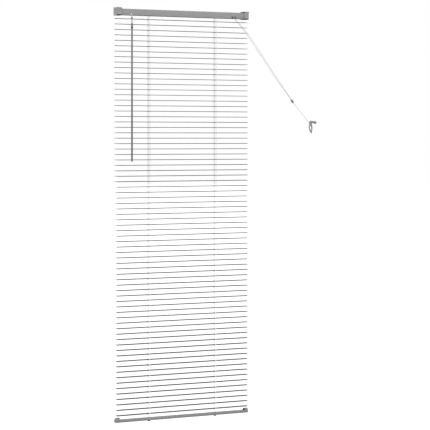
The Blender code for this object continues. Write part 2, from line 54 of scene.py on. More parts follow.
# Places that many pieces share, all read from the frame
firstLow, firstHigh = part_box("slat_01")
fourthLow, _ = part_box("slat_04")
railLow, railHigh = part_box("head_rail")
footLow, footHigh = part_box("bottom_rail")
curtain = {
    "count": 74,
    "modelledEvery": 3,
    "pitch": (firstLow.z - fourthLow.z) / 3,
    "firstEdgeZ": firstLow.z + 0.15 * mm,  # the middle of the metal at a slat's edges
    "length": firstHigh.x - firstLow.x,
    "depth": firstHigh.y - firstLow.y,
    "middleY": (firstLow.y + firstHigh.y) / 2,
    "ladderX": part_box("right_ladder_front")[0].x + 0.45 * mm,
    "footZ": (footLow.z + footHigh.z) / 2,
    "rodZ": (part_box("tilt_rod")[0].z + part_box("tilt_rod")[1].z) / 2,
}


def slatZ(number):
    return curtain["firstEdgeZ"] - (number - 1) * curtain["pitch"]


view = {
    "place": (-3.8018, -6.8578, -0.4996),
    "turn": -30,  # degrees about Z from facing the wall
    "halfFrame": 215,
    "lensInPixels": 1994.6,
    "horizonRise": 78,
}
studio = {
    "floorZ": -2.35,
    "floorRadius": 70,
    "bounceTone": 0.16,  # what the white floor gives back to the blind from below
    "worldLight": 1.0,
    "keyStrength": 1.0,
    "keyAngle": 40,
}


def placeCamera():
    data = bpy.data.cameras.new("camera")
    data.sensor_fit = "HORIZONTAL"
    data.angle = 2 * math.atan(view["halfFrame"] / view["lensInPixels"])
    data.shift_y = -view["horizonRise"] / (2 * view["halfFrame"])
    data.clip_end = 300
    camera = bpy.data.objects.new("camera", data)
    camera.location = view["place"]
    camera.rotation_euler = (math.pi / 2, 0, math.radians(view["turn"]))
    bpy.context.scene.collection.objects.link(camera)
    bpy.context.scene.camera = camera


def lightStudio():
    bm = bmesh.new()
    bmesh.ops.create_circle(bm, cap_ends=True, segments=96, radius=studio["floorRadius"])
    mesh = bpy.data.meshes.new("floor")
    bm.to_mesh(mesh)
    bm.free()
    floor = bpy.data.objects.new("floor", mesh)
    floor.location.z = studio["floorZ"]
    bpy.context.scene.collection.objects.link(floor)
    paper = bpy.data.materials.new("paleFloor")
    paper.use_nodes = True
    shader = paper.node_tree.nodes["Principled BSDF"]
    shader.inputs["Base Color"].default_value = (studio["bounceTone"],) * 3 + (1,)
    shader.inputs["Emission Color"].default_value = (1, 1, 1, 1)
    path = paper.node_tree.nodes.new("ShaderNodeLightPath")
    paper.node_tree.links.new(path.outputs["Is Camera Ray"], shader.inputs["Emission Strength"])
    shader.inputs["Roughness"].default_value = 1
    shader.inputs["Specular IOR Level"].default_value = 0
    mesh.materials.append(paper)

    world = bpy.data.worlds.new("whiteStudio")
    world.use_nodes = True
    background = world.node_tree.nodes["Background"]
    background.inputs["Color"].default_value = (1, 1, 1, 1)
    background.inputs["Strength"].default_value = studio["worldLight"]
    bpy.context.scene.world = world

    data = bpy.data.lights.new("skylight", "SUN")
    data.energy = studio["keyStrength"]
    data.angle = math.radians(studio["keyAngle"])
    key = bpy.data.objects.new("skylight", data)
    key.rotation_euler = (math.radians(42), 0, math.radians(-48))
    bpy.context.scene.collection.objects.link(key)
    bpy.context.scene.view_settings.view_transform = "Standard"


def makeGroup(name, inputs, outputs):
    group = bpy.data.node_groups.new(name, "ShaderNodeTree")
    for label, kind, value in inputs:
        socket = group.interface.new_socket(name=label, in_out="INPUT", socket_type=kind)
        socket.default_value = value
    for label, kind in outputs:
        group.interface.new_socket(name=label, in_out="OUTPUT", socket_type=kind)
    start = group.nodes.new("NodeGroupInput")
    end = group.nodes.new("NodeGroupOutput")
    return group, start, end


def addMath(tree, operation, first, second=None, third=None):
    node = tree.nodes.new("ShaderNodeMath")
    node.operation = operation
    for socket, value in zip(node.inputs, (first, second, third)):
        if value is None:
            continue
        if isinstance(value, (int, float)):
            socket.default_value = value
        else:
            tree.links.new(value, socket)
    return node.outputs[0]


def noise(tree, scale, detail, stretch=(1, 1, 1), roughness=0.5):
    # A noise value over the piece, in the frame's own metres.
    coordinates = tree.nodes.new("ShaderNodeTexCoord")
    mapping = tree.nodes.new("ShaderNodeMapping")
    mapping.inputs["Scale"].default_value = stretch
    texture = tree.nodes.new("ShaderNodeTexNoise")
    texture.inputs["Scale"].default_value = scale
    texture.inputs["Detail"].default_value = detail
    texture.inputs["Roughness"].default_value = roughness
    tree.links.new(coordinates.outputs["Object"], mapping.inputs["Vector"])
    tree.links.new(mapping.outputs["Vector"], texture.inputs["Vector"])
    return texture.outputs["Fac"]


def paintGroup():
    # Stoved paint: slow mottling, lengthwise rolling streaks and a fine orange-peel skin.
    group, start, end = makeGroup(
        "stovedPaint",
        (
            ("Colour", "NodeSocketColor", (0.5, 0.5, 0.5, 1)),
            ("Mottle", "NodeSocketFloat", 0.1),
            ("Streak", "NodeSocketFloat", 0.1),
            ("Roughness", "NodeSocketFloat", 0.4),
        ),
        (
            ("Colour", "NodeSocketColor"),
            ("Roughness", "NodeSocketFloat"),
            ("Height", "NodeSocketFloat"),
        ),
    )
    slow = addMath(group, "SUBTRACT", noise(group, 22, 4), 0.5)
    streaks = addMath(group, "SUBTRACT", noise(group, 1, 3, (4, 900, 900)), 0.5)
    peel = noise(group, 900, 2)
    mottled = addMath(group, "MULTIPLY", slow, start.outputs["Mottle"])
    streaked = addMath(group, "MULTIPLY", streaks, start.outputs["Streak"])
    gain = addMath(group, "ADD", addMath(group, "ADD", mottled, streaked), 1)
    tint = group.nodes.new("ShaderNodeVectorMath")
    tint.operation = "SCALE"
    group.links.new(start.outputs["Colour"], tint.inputs[0])
    group.links.new(gain, tint.inputs["Scale"])
    group.links.new(tint.outputs["Vector"], end.inputs["Colour"])
    rough = addMath(group, "MULTIPLY_ADD", slow, 0.22, start.outputs["Roughness"])
    group.links.new(addMath(group, "MULTIPLY_ADD", peel, 0.06, rough), end.inputs["Roughness"])
    group.links.new(addMath(group, "MULTIPLY_ADD", streaks, 0.4, peel), end.inputs["Height"])
    return group


def wearGroup():
    # Where handling has rubbed an edge, and where dust has settled on what faces up.
    group, start, end = makeGroup(
        "wearAndDust",
        (
            ("Colour", "NodeSocketColor", (0.5, 0.5, 0.5, 1)),
            ("Rubbed colour", "NodeSocketColor", (0.7, 0.7, 0.7, 1)),
            ("Rubbing", "NodeSocketFloat", 0.4),
            ("Dust", "NodeSocketFloat", 0.1),
        ),
        (("Colour", "NodeSocketColor"), ("Mask", "NodeSocketFloat")),
    )
    shape = group.nodes.new("ShaderNodeNewGeometry")
    edges = group.nodes.new("ShaderNodeMapRange")
    edges.inputs["From Min"].default_value = 0.54
    edges.inputs["From Max"].default_value = 0.68
    group.links.new(shape.outputs["Pointiness"], edges.inputs["Value"])
    patchy = addMath(group, "MULTIPLY", edges.outputs["Result"], noise(group, 260, 5, roughness=0.7))
    rubbed = addMath(group, "MULTIPLY", patchy, start.outputs["Rubbing"])
    parts = group.nodes.new("ShaderNodeSeparateXYZ")
    group.links.new(shape.outputs["Normal"], parts.inputs["Vector"])
    upward = addMath(group, "POWER", addMath(group, "MAXIMUM", parts.outputs["Z"], 0), 3)
    settled = addMath(group, "MULTIPLY", upward, noise(group, 70, 6, roughness=0.65))
    dusty = addMath(group, "MULTIPLY", settled, start.outputs["Dust"])
    first = group.nodes.new("ShaderNodeMix")
    first.data_type = "RGBA"
    group.links.new(rubbed, first.inputs["Factor"])
    group.links.new(start.outputs["Colour"], first.inputs["A"])
    group.links.new(start.outputs["Rubbed colour"], first.inputs["B"])
    second = group.nodes.new("ShaderNodeMix")
    second.data_type = "RGBA"
    second.inputs["B"].default_value = (0.72, 0.71, 0.69, 1)
    group.links.new(dusty, second.inputs["Factor"])
    group.links.new(first.outputs["Result"], second.inputs["A"])
    group.links.new(second.outputs["Result"], end.inputs["Colour"])
    group.links.new(addMath(group, "MAXIMUM", rubbed, dusty), end.inputs["Mask"])
    return group


def braidGroup():
    # Braided cord: two crossing sets of strands and loose fibres.
    group, start, end = makeGroup(
        "braid",
        (
            ("Colour", "NodeSocketColor", (0.8, 0.8, 0.78, 1)),
            ("Strand", "NodeSocketFloat", 0.0009),
            ("Soiling", "NodeSocketFloat", 0.1),
        ),
        (("Colour", "NodeSocketColor"), ("Height", "NodeSocketFloat")),
    )
    coordinates = group.nodes.new("ShaderNodeTexCoord")
    parts = group.nodes.new("ShaderNodeSeparateXYZ")
    group.links.new(coordinates.outputs["Object"], parts.inputs["Vector"])
    along = parts.outputs["Z"]
    across = addMath(group, "ADD", parts.outputs["X"], parts.outputs["Y"])
    turns = addMath(group, "DIVIDE", 2 * math.pi, start.outputs["Strand"])
    rising = addMath(group, "MULTIPLY", addMath(group, "ADD", along, across), turns)
    falling = addMath(group, "MULTIPLY", addMath(group, "SUBTRACT", along, across), turns)
    weave = addMath(
        group,
        "MAXIMUM",
        addMath(group, "SINE", rising),
        addMath(group, "SINE", falling),
    )
    fibres = noise(group, 3200, 2)
    height = addMath(group, "MULTIPLY_ADD", fibres, 0.6, weave)
    soiled = addMath(group, "MULTIPLY", noise(group, 9, 4), start.outputs["Soiling"])
    # The colour is a little darker in the weave's hollows: painted shade between the strands.
    weaveShade = addMath(group, "MULTIPLY_ADD", weave, 0.07, 0.93)
    gain = addMath(group, "SUBTRACT", weaveShade, soiled)
    tint = group.nodes.new("ShaderNodeVectorMath")
    tint.operation = "SCALE"
    group.links.new(start.outputs["Colour"], tint.inputs[0])
    group.links.new(gain, tint.inputs["Scale"])
    group.links.new(tint.outputs["Vector"], end.inputs["Colour"])
    group.links.new(height, end.inputs["Height"])
    return group


def grey(tone, warmth=0.0):
    return (tone * (1 + warmth), tone, tone * (1 - warmth), 1)


def newMaterial(name):
    material = bpy.data.materials.new(name)
    material.use_nodes = True
    return material, material.node_tree, material.node_tree.nodes["Principled BSDF"]


def placeGroup(tree, group, **values):
    node = tree.nodes.new("ShaderNodeGroup")
    node.node_tree = group
    for name, value in values.items():
        node.inputs[name.replace("_", " ")].default_value = value
    return node


def addBump(tree, shader, height, strength, distance):
    bump = tree.nodes.new("ShaderNodeBump")
    bump.inputs["Strength"].default_value = strength
    bump.inputs["Distance"].default_value = distance
    tree.links.new(height, bump.inputs["Height"])
    tree.links.new(bump.outputs["Normal"], shader.inputs["Normal"])


def paintedFinish(
    name, tone, roughness=0.4, mottle=0.06, streak=0.08, rubbing=0.35, dust=0.12, gloss=0.5
):
    # Stoved paint or moulded plastic, with rubbed edges and a little dust.
    material, tree, shader = newMaterial(name)
    paint = placeGroup(
        tree, stovedPaint, Colour=grey(tone), Mottle=mottle, Streak=streak, Roughness=roughness
    )
    rubbed = grey(min(0.8, tone * 1.7))
    wear = placeGroup(tree, wearAndDust, Rubbed_colour=rubbed, Rubbing=rubbing, Dust=dust)
    tree.links.new(paint.outputs["Colour"], wear.inputs["Colour"])
    tree.links.new(wear.outputs["Colour"], shader.inputs["Base Color"])
    rough = addMath(tree, "MULTIPLY_ADD", wear.outputs["Mask"], 0.3, paint.outputs["Roughness"])
    tree.links.new(rough, shader.inputs["Roughness"])
    shader.inputs["Specular IOR Level"].default_value = gloss
    addBump(tree, shader, paint.outputs["Height"], 0.12, 0.00004)
    return material


def cordFinish(name, tone, strand, soiling=0.08):
    material, tree, shader = newMaterial(name)
    braid = placeGroup(tree, braidWeave, Colour=grey(tone, 0.012), Strand=strand, Soiling=soiling)
    tree.links.new(braid.outputs["Colour"], shader.inputs["Base Color"])
    shader.inputs["Roughness"].default_value = 0.75
    shader.inputs["Sheen Weight"].default_value = 0.25
    shader.inputs["Sheen Roughness"].default_value = 0.4
    addBump(tree, shader, braid.outputs["Height"], 0.5, 0.00008)
    return material


def wandFinish(name, tone):
    # Smoked plastic: dark inside, glossy outside, with fine scratches down its length.
    material, tree, shader = newMaterial(name)
    scratches = noise(tree, 1, 3, (2600, 2600, 14))
    paint = placeGroup(tree, stovedPaint, Colour=grey(tone), Mottle=0.1, Streak=0.0, Roughness=0.16)
    tree.links.new(paint.outputs["Colour"], shader.inputs["Base Color"])
    tree.links.new(addMath(tree, "MULTIPLY_ADD", scratches, 0.16, 0.14), shader.inputs["Roughness"])
    shader.inputs["Coat Weight"].default_value = 0.4
    shader.inputs["Coat Roughness"].default_value = 0.08
    addBump(tree, shader, scratches, 0.08, 0.00003)
    return material


def steelFinish(name, tone):
    material, tree, shader = newMaterial(name)
    cold = grey(tone, -0.01)
    paint = placeGroup(tree, stovedPaint, Colour=cold, Mottle=0.25, Streak=0.2, Roughness=0.3)
    tree.links.new(paint.outputs["Colour"], shader.inputs["Base Color"])
    tree.links.new(paint.outputs["Roughness"], shader.inputs["Roughness"])
    shader.inputs["Metallic"].default_value = 1
    addBump(tree, shader, paint.outputs["Height"], 0.2, 0.00003)
    return material


def smoothByAngle(mesh, degrees=35):
    mesh.shade_smooth()
    mesh.set_sharp_from_angle(angle=math.radians(degrees))


def addPiece(name, mesh, finish, body, slot, *replaced):
    # A finished mesh becomes a piece that rides on a body and may stand for CAD nodes.
    piece = bpy.data.objects.new(name, mesh)
    bpy.context.scene.collection.objects.link(piece)
    mesh.materials.clear()
    mesh.materials.append(finish)
    if body:
        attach(piece, body)
    if replaced:
        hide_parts(*replaced)
    return piece


def applied(piece):
    # The piece's mesh with its modifiers applied.
    bpy.context.view_layer.update()
    graph = bpy.context.evaluated_depsgraph_get()
    mesh = bpy.data.meshes.new_from_object(piece.evaluated_get(graph))
    bpy.data.objects.remove(piece)
    return mesh


def arc(middle, radius, start, end, count):
    # Points on an arc, angles in degrees.
    angles = [math.radians(start + (end - start) * k / (count - 1)) for k in range(count)]
    return [(middle[0] + radius * math.cos(a), middle[1] + radius * math.sin(a)) for a in angles]


def rounded(points, radius, steps=4):
    # An outline with each corner replaced by an arc. A radius can be given for each corner.
    radii = radius if isinstance(radius, (list, tuple)) else [radius] * len(points)
    outline = []
    for i, corner in enumerate(points):
        here = Vector(corner)
        back = Vector(points[i - 1]) - here
        on = Vector(points[(i + 1) % len(points)]) - here
        reach = min(radii[i], back.length * 0.48, on.length * 0.48)
        if reach < 1e-7:
            outline.append(tuple(here))
            continue
        first, last = here + back.normalized() * reach, here + on.normalized() * reach
        for k in range(steps + 1):
            t = k / steps
            outline.append(tuple(first * (1 - t) ** 2 + here * (2 * t * (1 - t)) + last * t**2))
    return outline


def flatMesh(outlines):
    # A flat filled drawing: the first outline is its edge and the rest are holes.
    drawing = bpy.data.curves.new("drawing", "CURVE")
    drawing.dimensions = "2D"
    drawing.fill_mode = "BOTH"
    for outline in outlines:
        spline = drawing.splines.new("POLY")
        spline.points.add(len(outline) - 1)
        for point, (x, y) in zip(spline.points, outline):
            point.co = (x, y, 0, 1)
        spline.use_cyclic_u = True
    flat = bpy.data.objects.new("drawing", drawing)
    bpy.context.scene.collection.objects.link(flat)
    mesh = applied(flat)
    mesh.materials.clear()
    return mesh


def thickMesh(outlines, thickness, place):
    # The drawing made thickness deep and put in place by a matrix.
    bm = bmesh.new()
    bm.from_mesh(flatMesh(outlines))
    bmesh.ops.remove_doubles(bm, verts=bm.verts, dist=1e-6)
    bmesh.ops.dissolve_limit(bm, angle_limit=0.01, verts=bm.verts, edges=bm.edges)
    bmesh.ops.translate(bm, verts=bm.verts, vec=(0, 0, -thickness / 2))
    sheet = bmesh.ops.extrude_face_region(bm, geom=bm.faces[:])
    top = [v for v in sheet["geom"] if isinstance(v, bmesh.types.BMVert)]
    bmesh.ops.translate(bm, verts=top, vec=(0, 0, thickness))
    bmesh.ops.recalc_face_normals(bm, faces=bm.faces)
    bmesh.ops.transform(bm, matrix=place, verts=bm.verts)
    mesh = bpy.data.meshes.new("thick")
    bm.to_mesh(mesh)
    bm.free()
    return mesh


alongX = Matrix(((0, 0, 1, 0), (1, 0, 0, 0), (0, 1, 0, 0), (0, 0, 0, 1)))  # x, y, z to Y, Z, X
facingRoom = Matrix(((1, 0, 0, 0), (0, 0, -1, 0), (0, 1, 0, 0), (0, 0, 0, 1)))


def turnedMesh(profile, place, sides=40):
    # A turned shape from radii and heights, closed at both ends on its own axis.
    bm = bmesh.new()
    rings = []
    for radius, height in profile:
        if radius < 1e-7:
            rings.append([bm.verts.new((0, 0, height))])
            continue
        turns = [2 * math.pi * k / sides for k in range(sides)]
        rings.append([bm.verts.new((radius * math.cos(a), radius * math.sin(a), height)) for a in turns])
    for upper, lower in zip(rings, rings[1:]):
        for k in range(sides):
            ring = [upper[k % len(upper)], upper[(k + 1) % len(upper)]]
            ring += [lower[(k + 1) % len(lower)], lower[k % len(lower)]]
            corners = list(dict.fromkeys(ring))
            if len(corners) > 2:
                bm.faces.new(corners)
    if len(rings[0]) > 1 and len(rings[-1]) > 1:
        for k in range(sides):
            j = (k + 1) % sides
            bm.faces.new((rings[-1][k], rings[-1][j], rings[0][j], rings[0][k]))
    bmesh.ops.recalc_face_normals(bm, faces=bm.faces)
    bmesh.ops.transform(bm, matrix=place, verts=bm.verts)
    mesh = bpy.data.meshes.new("turned")
    bm.to_mesh(mesh)
    bm.free()
    smoothByAngle(mesh, 30)
    return mesh


def joinMeshes(*meshes):
    bm = bmesh.new()
    for mesh in meshes:
        bm.from_mesh(mesh)
    joined = bpy.data.meshes.new("joined")
    bm.to_mesh(joined)
    bm.free()
    return joined


def cutMesh(mesh, *cutters):
    piece = bpy.data.objects.new("blank", mesh)
    bpy.context.scene.collection.objects.link(piece)
    tools = []
    for cutter in cutters:
        tool = bpy.data.objects.new("tool", cutter)
        bpy.context.scene.collection.objects.link(tool)
        change = piece.modifiers.new("cut", "BOOLEAN")
        change.operation = "DIFFERENCE"
        change.solver = "EXACT"
        change.object = tool
        tools.append(tool)
    result = applied(piece)
    for tool in tools:
        bpy.data.objects.remove(tool)
    return result


def boxMesh(low, high):
    bm = bmesh.new()
    bmesh.ops.create_cube(bm, size=1)
    size = Vector(high) - Vector(low)
    bmesh.ops.scale(bm, vec=size, verts=bm.verts)
    bmesh.ops.translate(bm, vec=(Vector(low) + Vector(high)) / 2, verts=bm.verts)
    mesh = bpy.data.meshes.new("box")
    bm.to_mesh(mesh)
    bm.free()
    return mesh


def softened(mesh, width, segments=2, angle=30, smooth=35):
    # Edges sharper than the angle are rounded over, as on a real pressed or moulded part.
    bm = bmesh.new()
    bm.from_mesh(mesh)
    bmesh.ops.remove_doubles(bm, verts=bm.verts, dist=2e-6)
    bmesh.ops.dissolve_limit(bm, angle_limit=0.01, verts=bm.verts, edges=bm.edges)
    clean = bpy.data.meshes.new("clean")
    bm.to_mesh(clean)
    bm.free()
    piece = bpy.data.objects.new("blank", clean)
    bpy.context.scene.collection.objects.link(piece)
    bevel = piece.modifiers.new("soften", "BEVEL")
    bevel.width = width
    bevel.segments = segments
    bevel.limit_method = "ANGLE"
    bevel.angle_limit = math.radians(angle)
    bevel.use_clamp_overlap = True
    bevel.harden_normals = False
    result = applied(piece)
    smoothByAngle(result, smooth)
    return result


def softenNode(node, name, width, finish, body, slot, segments=2, angle=30):
    # A CAD part with its edges rounded over.
    mesh = softened(nodes[node].data.copy(), width, segments, angle)
    return addPiece(name, mesh, finish, body, slot, node)


def smoothRoute(points, step):
    # Points about a step apart on a smooth curve through a route's own points.
    ends = [points[0] * 2 - points[1], *points, points[-1] * 2 - points[-2]]
    smooth = [points[0]]
    for a, b, c, d in zip(ends, ends[1:], ends[2:], ends[3:]):
        length = (c - b).length
        leave, arrive = (c - a).normalized() * length, (d - b).normalized() * length
        count = max(1, round(length / step))
        for k in range(1, count + 1):
            t = k / count
            smooth.append(
                b * (2 * t**3 - 3 * t**2 + 1)
                + leave * (t**3 - 2 * t**2 + t)
                + c * (3 * t**2 - 2 * t**3)
                + arrive * (t**3 - t**2)
            )
    return smooth


def cordMesh(path, radius, sides=8, strands=0, lay=0.006):
    # A cord along a path. With strands, their twist stands out in relief.
    bm = bmesh.new()
    side = Vector((0, 1, 0))
    rings, travelled = [], 0
    for i, point in enumerate(path):
        before, after = path[max(i - 1, 0)], path[min(i + 1, len(path) - 1)]
        tangent = (after - before).normalized()
        travelled += (point - before).length
        side = (side - tangent * side.dot(tangent)).normalized()
        other = tangent.cross(side)
        ring = []
        for k in range(sides):
            angle = 2 * math.pi * k / sides
            swell = 1.0
            if strands:
                phase = strands / 2 * (angle - 2 * math.pi * travelled / lay)
                swell = 0.84 + 0.16 * abs(math.cos(phase))
            reach = radius * swell
            ring.append(bm.verts.new(point + (side * math.cos(angle) + other * math.sin(angle)) * reach))
        rings.append(ring)
    for lower, upper in zip(rings, rings[1:]):
        for k in range(sides):
            j = (k + 1) % sides
            bm.faces.new((lower[k], lower[j], upper[j], upper[k]))
    bm.faces.new(rings[0][::-1])
    bm.faces.new(rings[-1])
    bmesh.ops.recalc_face_normals(bm, faces=bm.faces)
    mesh = bpy.data.meshes.new("cord")
    bm.to_mesh(mesh)
    bm.free()
    smoothByAngle(mesh, 60)
    return mesh


def millimetres(*points):
    return [Vector(point) * mm for point in points]


pullCord = {"diameter": 1.4 * mm, "sides": 12, "strands": 3, "lay": 7 * mm, "step": 1.1 * mm}


def makePullCords():
    # Two strands from the lock to the joiner, and one from the joiner to the cleat.
    left = millimetres(
        (219.3, -20.8, -25.8),
        (223, -22.6, -26.2),
        (226.6, -26.0, -27.2),
        (229.2, -29.2, -29.8),
        (232, -31.2, -34.8),
        (238.4, -32.0, -42),
        (247.1, -32.0, -50.5),
        (258.5, -32.0, -61.5),
        (270, -31.6, -73.6),
        (284, -31.0, -89.6),
        (301, -30.0, -109),
        (324, -28.6, -137),
        (350, -27.2, -169),
        (372, -26.2, -196),
        (409, -24.4, -242),
        (450, -22.2, -290),
        (480.6, -20.6, -324.8),
        (501.1, -19.5, -348.6),
    )
    right = millimetres(
        (219.3, -17.0, -25.8),
        (224.4, -19.6, -26.2),
        (229.2, -24.2, -27.0),
        (232.4, -28.6, -29.2),
        (235.4, -30.6, -34),
        (242.6, -31.0, -41),
        (252, -30.8, -49),
        (264.6, -30.6, -59.8),
        (277, -30.2, -72),
        (292, -29.4, -88),
        (309, -28.4, -107.6),
        (331, -27.2, -134),
        (356, -25.8, -165),
        (377, -24.6, -191.4),
        (413, -22.8, -237.6),
        (453, -20.8, -286),
        (483.2, -19.2, -322.2),
        (503.1, -18.2, -346.6),
    )
    tail = millimetres(
        (514.4, -17.7, -362.2),
        (523, -16.8, -371),
        (537, -15.0, -384.8),
        (553, -12.8, -400.2),
        (570, -10.4, -416.2),
        (585, -8.4, -429.8),
        (597.2, -7.0, -440.2),
    )
    joiner = softenNode("cord_joiner", "cordJoiner", 0.4 * mm, joinerPlastic, "frame", "grey_plastic")
    for name, node, route, far, held in (
        ("pullCordLeft", "pull_cord_left", left, "fitting", [joiner]),
        ("pullCordRight", "pull_cord_right", right, "object", []),
        ("pullCordTail", "pull_cord_tail", tail, "object", []),
    ):
        path = smoothRoute(route, pullCord["step"])
        radius = pullCord["diameter"] / 2
        mesh = cordMesh(path, radius, pullCord["sides"], pullCord["strands"], pullCord["lay"])
        cord = addPiece(name, mesh, pullWhite, "frame", "cord_fibre", node)


placeCamera()
lightStudio()
print("camera and light are set")

stovedPaint = paintGroup()
wearAndDust = wearGroup()
braidWeave = braidGroup()
railPaint = paintedFinish("railPaint", 0.42, 0.42, streak=0.16, gloss=0.08)
# The slats' paint is made far darker than the rail's: painted shade between the close-set slats.
shadedSlatPaint = paintedFinish("shadedSlatPaint", 0.10, 0.52, streak=0.10, dust=0.1, gloss=0.0)
footPaint = paintedFinish("footPaint", 0.33, 0.45, streak=0.14, gloss=0.1)
bracketPaint = paintedFinish("bracketPaint", 0.43, 0.42, streak=0.0, gloss=0.1)
capPlastic = paintedFinish("capPlastic", 0.30, 0.45, mottle=0.1, streak=0.0)
# A near-black finish for faces deep inside hollows: painted shade in the end caps' ears, inside the
# brackets and inside the cord lock.
paintedHollowShade = paintedFinish("paintedHollowShade", 0.02, 0.6, 0.1, 0.0, rubbing=0.0, dust=0.0, gloss=0.2)
joinerPlastic = paintedFinish("joinerPlastic", 0.30, 0.42, mottle=0.1, streak=0.0)
cleatPlastic = paintedFinish("cleatPlastic", 0.34, 0.38, mottle=0.08, streak=0.0)
collarPlastic = paintedFinish("collarPlastic", 0.30, 0.4, mottle=0.12, streak=0.0)
# A near-black finish for the collar's dark ends, and painted shadow in the gap round the socket.
darkEndsAndShadowGap = paintedFinish("darkEndsAndShadowGap", 0.08, 0.4, mottle=0.12, streak=0.0)
nylon = paintedFinish("whiteNylon", 0.72, 0.5, mottle=0.05, streak=0.0, rubbing=0.1)
lockNylon = paintedFinish("lockNylon", 0.8, 0.5, mottle=0.08, streak=0.0, rubbing=0.1)
socketPlastic = paintedFinish("socketPlastic", 0.36, 0.25, mottle=0.08, streak=0.0)
wandPlastic = wandFinish("wandPlastic", 0.25)
zincSteel = steelFinish("zincSteel", 0.55)
liftGrey = cordFinish("liftGrey", 0.32, 1.3 * mm, 0.12)
pullWhite = cordFinish("pullWhite", 0.60, 1.3 * mm, 0.12)
ladderWhite = cordFinish("ladderWhite", 0.93, 0.9 * mm, 0.04)
makePullCords()


slatLook = {
    "thickness": 0.21 * mm,
    "crown": firstHigh.z - firstLow.z - 0.3 * mm,
    "cornerRadius": 2.5 * mm,
    "routeHole": (4.2 * mm, 16.6 * mm),
    "cuts": 14,  # lines across the depth where the sheet bends
    "lean": 1.6,  # degrees, front edge down
    "leanJitter": 0.4,
    "blendReach": 13.8 * mm,
}


def slatMesh():
    # A thin crowned strip with round corners and two oval cord holes.
    x, y = curtain["length"] / 2, curtain["depth"] / 2
    corners = ((-x, -y), (x, -y), (x, y), (-x, y))
    outlines = [rounded(corners, slatLook["cornerRadius"], 6)]
    width, length = slatLook["routeHole"]
    radius = width / 2
    straight = length / 2 - radius
    for side in (-1, 1):
        middle = side * curtain["ladderX"]
        top = arc((middle, straight), radius, 0, 180, 9)
        bottom = arc((middle, -straight), radius, 180, 360, 9)
        outlines.append(top + bottom)
    bm = bmesh.new()
    bm.from_mesh(flatMesh(outlines))
    bmesh.ops.remove_doubles(bm, verts=bm.verts, dist=1e-6)
    bmesh.ops.dissolve_limit(bm, angle_limit=0.01, verts=bm.verts, edges=bm.edges)
    for k in range(1, slatLook["cuts"]):
        height = -y + 2 * y * k / slatLook["cuts"]
        everything = bm.verts[:] + bm.edges[:] + bm.faces[:]
        bmesh.ops.bisect_plane(bm, geom=everything, plane_co=(0, height, 0), plane_no=(0, 1, 0))
    for vert in bm.verts:
        share = vert.co.y / y
        vert.co.z = slatLook["crown"] * (1 - share * share)
    mesh = bpy.data.meshes.new("slat")
    bm.to_mesh(mesh)
    bm.free()
    blank = bpy.data.objects.new("blank", mesh)
    bpy.context.scene.collection.objects.link(blank)
    skin = blank.modifiers.new("skin", "SOLIDIFY")
    skin.thickness = slatLook["thickness"]
    skin.offset = 0
    return applied(blank)


def makeSlats():
    # Each modelled slat turns with its own body, and the rest hang in the ladders' cords.
    pattern = slatMesh()
    y, reach = curtain["middleY"], slatLook["blendReach"]
    for number in range(1, curtain["count"] + 1):
        mesh = pattern.copy()
        z = slatZ(number)
        lean = math.radians(slatLook["lean"] + slatLook["leanJitter"] * math.sin(number * 12.9898))
        place = Matrix.Translation((0, y, z)) @ Matrix.Rotation(lean, 4, "X")
        mesh.transform(place)
        smoothByAngle(mesh, 40)
        name = f"slatBlade{number:02d}"
        if (number - 1) % curtain["modelledEvery"] == 0:
            node = f"slat_{number:02d}"
            addPiece(name, mesh, shadedSlatPaint, node, "slat_paint", node)
        else:
            piece = addPiece(name, mesh, shadedSlatPaint, None, "slat_paint")
            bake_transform(piece)


makeSlats()
print("slats are hung")


ladderLook = {
    "stringRadius": 0.45 * mm,
    "rungRadius": 0.22 * mm,
    "rungSpread": 1.3 * mm,
    "stringY": 13.5 * mm,
    "reachZ": -40 * mm,
}


liftCord = {
    "radius": 0.7 * mm,
    "sides": 10,
    "step": 7 * mm,
    "anchor": 1.4 * mm,  # how far below the bottom rail's middle it is held
    "cradleZ": -30.5 * mm,
    "bendsFrom": 50 * mm,  # above the bottom rail, where it starts to follow the rail
    "bendsTo": 5 * mm,
}


def makeLadder(name, side):
    # Front and back strings, and two threads under each slat.
    x, y = side * curtain["ladderX"], curtain["middleY"]
    footZ, rodZ = curtain["footZ"], curtain["rodZ"]
    edge = ladderLook["stringY"]
    footY = (footHigh.y - footLow.y) / 2 + 0.8 * mm
    for where, depth in (("front", -1), ("back", 1)):
        route = [
            (7.1 * mm, rodZ),
            (7.3 * mm, -22 * mm),
            (9.0 * mm, -27.5 * mm),
            (10.2 * mm, -31 * mm),
            (edge - 0.4 * mm, -38 * mm),
            (edge, -42 * mm),
        ]
        route += [(edge, slatZ(number)) for number in range(2, curtain["count"] + 1, 2)]
        route += [(edge, footZ + 14 * mm), (footY + 0.3 * mm, footZ + 7 * mm), (footY, footZ)]
        points = [Vector((x, y + depth * out, z)) for out, z in route]
        mesh = cordMesh(smoothRoute(points, 6 * mm), ladderLook["stringRadius"], 8)
        node = f"{name}_ladder_{where}"
        string = addPiece(f"{name}Ladder{where.title()}", mesh, ladderWhite, None, "cord_fibre", node)
        if where == "front":
            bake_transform(string)
        else:
            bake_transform(string)
    threads = []
    for number in range(1, curtain["count"] + 1):
        z = slatZ(number) - slatLook["thickness"] / 2 - ladderLook["rungRadius"] - 0.1 * mm
        for offset in (-1, 1):
            away = offset * ladderLook["rungSpread"]
            points = [
                Vector((x, y - edge, z + 0.6 * mm)),
                Vector((x + away * 0.7, y - edge + 1.6 * mm, z)),
                Vector((x + away, y - 6 * mm, z)),
                Vector((x + away, y + 6 * mm, z)),
                Vector((x + away * 0.7, y + edge - 1.6 * mm, z)),
                Vector((x, y + edge, z + 0.6 * mm)),
            ]
            threads.append(cordMesh(points, ladderLook["rungRadius"], 5))
    rungs = addPiece(name + "LadderRungs", joinMeshes(*threads), ladderWhite, None, "cord_fibre")
    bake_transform(rungs)


